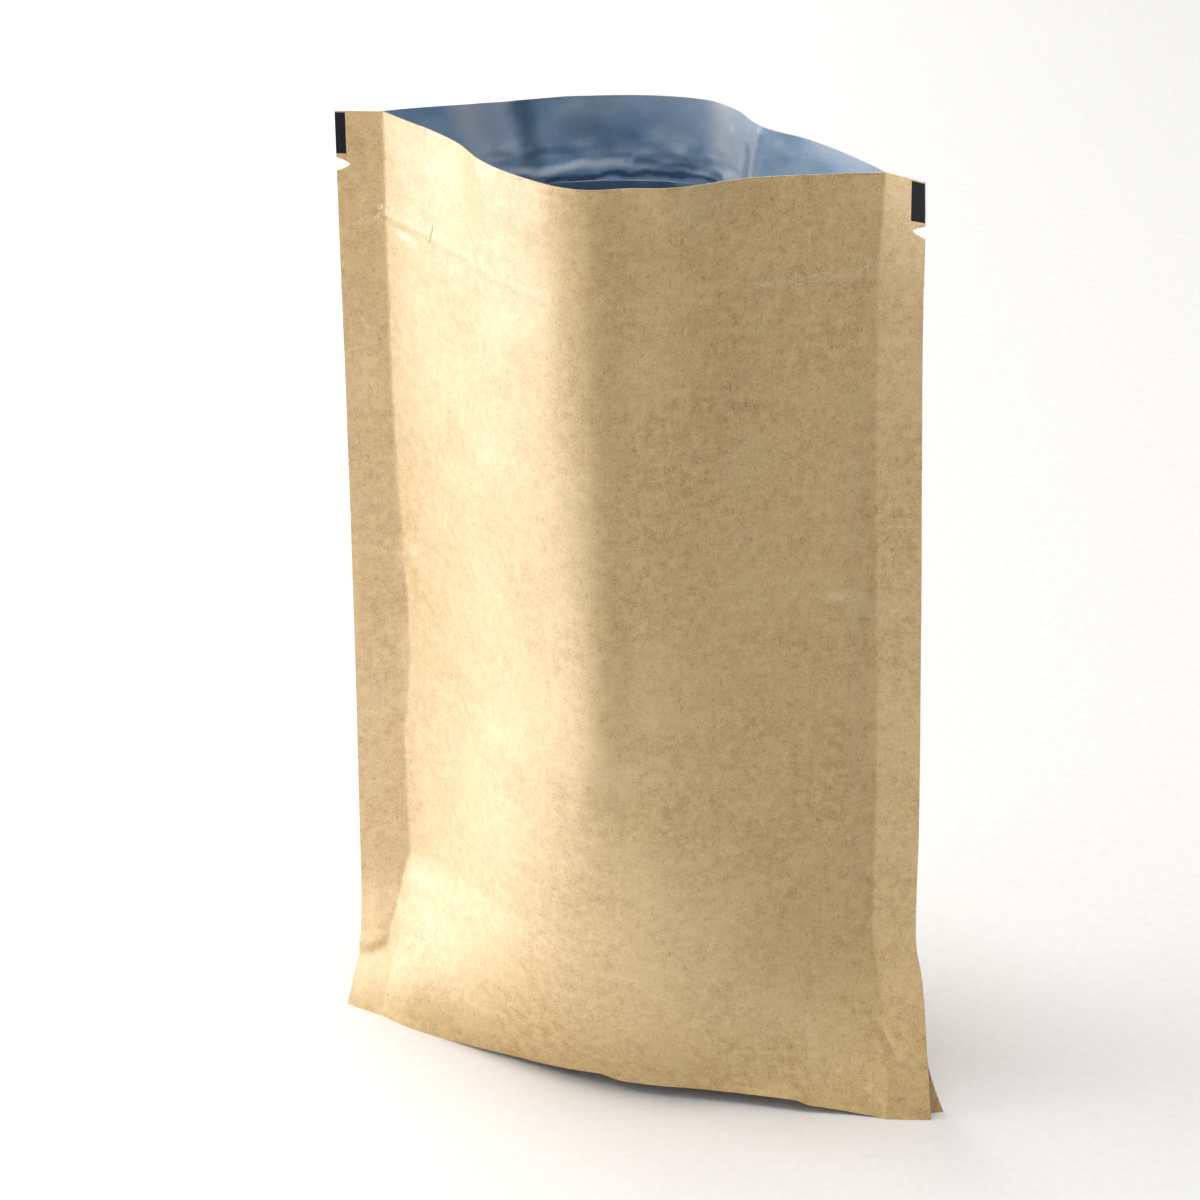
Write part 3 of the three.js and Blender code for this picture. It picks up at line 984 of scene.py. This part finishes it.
def foil_material():
    """The metallised inside: bluish, satin, softly uneven, with painted highlights and painted shade."""
    material, tree, shader = new_material("foil")
    clouds = noise(tree, 110, detail=3, low=0.35, high=0.65)
    grain = noise(tree, 900, detail=2)
    patches = noise(tree, 45, detail=1, low=0.35, high=0.65)
    colour = mixed(tree, clouds, FOIL_DARK, FOIL_PALE)
    colour = mixed(tree, patches, colour, FOIL_PATCH, strength=0.4)
    colour = mixed(tree, grain, colour, FOIL_GRAIN, strength=0.25)
    place = wavering(tree)
    # Painted highlights on the foil
    for start, end, width, strength in PAINTED_FOIL_HIGHLIGHTS:
        painted_highlight = stroke(tree, place, -1, start, end, width, soft=0.1)
        colour = mixed(tree, painted_highlight, colour, FOIL_HIGHLIGHT_COLOUR, strength)
    # Painted shade on the foil along the strip's weld
    for start, end, width, strength in FOIL_SHADE:
        shade = stroke(tree, place, -1, start, end, width, soft=0.1)
        colour = mixed(tree, shade, colour, FOIL_SHADE_COLOUR, strength)
    tree.links.new(colour, shader.inputs["Base Color"])
    shader.inputs["Metallic"].default_value = 0.15
    shader.inputs["Roughness"].default_value = 0.4
    bumped(tree, shader, grain, distance=0.03)
    return material


def edge_material():
    """The laminate's cut edge."""
    material, tree, shader = new_material("cut_edge")
    grain = noise(tree, 1200)
    colour = mixed(tree, grain, *EDGE_COLOURS)
    tree.links.new(colour, shader.inputs["Base Color"])
    shader.inputs["Roughness"].default_value = 0.7
    return material


def ink_material():
    """The printed marks' near-black ink on the paper's grain."""
    material, tree, shader = new_material("dark_ink")
    grain = noise(tree, 1300)
    colour = mixed(tree, grain, *INK_COLOURS)
    tree.links.new(colour, shader.inputs["Base Color"])
    shader.inputs["Roughness"].default_value = 0.55
    shader.inputs["Specular IOR Level"].default_value = 0.15
    return material


def zip_material():
    """The strips' clear plastic over the foil."""
    material, tree, shader = new_material("clear_plastic")
    clouds = noise(tree, 220, on_film=False)
    colour = mixed(tree, clouds, *PLASTIC_COLOURS)
    tree.links.new(colour, shader.inputs["Base Color"])
    shader.inputs["Roughness"].default_value = 0.28
    shader.inputs["Transmission Weight"].default_value = 0.35
    bumped(tree, shader, noise(tree, 700, on_film=False), distance=0.03)
    return material


def floor_material():
    """A plain pale floor."""
    material, tree, shader = new_material("floor")
    grain = noise(tree, 400, on_film=False)
    colour = mixed(tree, grain, *FLOOR_COLOURS)
    tree.links.new(colour, shader.inputs["Base Color"])
    shader.inputs["Roughness"].default_value = 0.6
    shader.inputs["Specular IOR Level"].default_value = 0.1
    return material


# ---------------------------------------------------------------- the stage

def make_camera():
    """The camera at the photograph's place and angle."""
    camera = bpy.data.objects.new("camera", bpy.data.cameras.new("camera"))
    camera.data.lens = CAMERA_LENS
    camera.data.sensor_width = CAMERA_SENSOR
    camera.data.clip_end = CAMERA_REACH
    turn = Matrix.Rotation(math.radians(CAMERA_ROUND), 4, "Z")
    tilt = Matrix.Rotation(math.radians(90 - CAMERA_DOWN), 4, "X")
    roll = Matrix.Rotation(math.radians(CAMERA_ROLL), 4, "Z")
    place = Matrix.Translation(Vector(CAMERA_PLACE) * METRES)
    camera.matrix_world = place @ turn @ tilt @ roll
    bpy.context.scene.collection.objects.link(camera)
    bpy.context.scene.camera = camera


def make_floor():
    """A large plain floor that fills the view."""
    corners = [(x * FLOOR_HALF, y * FLOOR_HALF, 0) for x, y in ((-1, -1), (1, -1), (1, 1), (-1, 1))]
    mesh = bpy.data.meshes.new("floor")
    mesh.from_pydata(corners, [], [(0, 1, 2, 3)])
    mesh.materials.append(floor_material())
    floor = bpy.data.objects.new("floor", mesh)
    bpy.context.scene.collection.objects.link(floor)


def area_light(name, place, size, power, target, matt):
    """A soft rectangular light, facing a target or up. Without matt it only shows as sheen."""
    data = bpy.data.lights.new(name, "AREA")
    data.shape = "RECTANGLE"
    data.size, data.size_y = size
    data.energy = power
    light = bpy.data.objects.new(name, data)
    light.location = place
    facing = Vector(target) - Vector(place) if target else Vector((0, 0, 1))
    light.rotation_euler = facing.to_track_quat("-Z", "Y").to_euler()
    light.visible_camera = False
    light.visible_diffuse = matt
    bpy.context.scene.collection.objects.link(light)


def make_lights():
    """A wide ceiling, soft lights above and on the left, and the sheens, in a dim surround."""
    for light in LIGHTS:
        area_light(*light, matt=True)
    for sheen in SHEENS:
        area_light(*sheen, matt=False)
    world = bpy.data.worlds.new("surround")
    world.use_nodes = True
    background = world.node_tree.nodes["Background"]
    background.inputs["Color"].default_value = (1, 1, 1, 1)
    background.inputs["Strength"].default_value = SURROUND
    bpy.context.scene.world = world


def set_view():
    """Plain display of the light as it is."""
    settings = bpy.context.scene.view_settings
    settings.view_transform = "Standard"
    settings.look = "None"
    settings.exposure = 0
    settings.gamma = 1


make_camera()
make_floor()
make_lights()
set_view()

laminate = [kraft_material(), foil_material(), edge_material(), ink_material()]
plastic = zip_material()
strips = {"zip_front": 1, "zip_back": -1}
films = [
    panel_piece("front_panel", 1, laminate),
    panel_piece("back_panel", -1, laminate),
    gusset_piece(laminate),
]
for piece in films:
    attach(piece, "root")
    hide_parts("pouch")
for node, side in strips.items():
    strip = zip_piece(node + "_strip", side, plastic)
    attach(strip, "root")
    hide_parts(node)
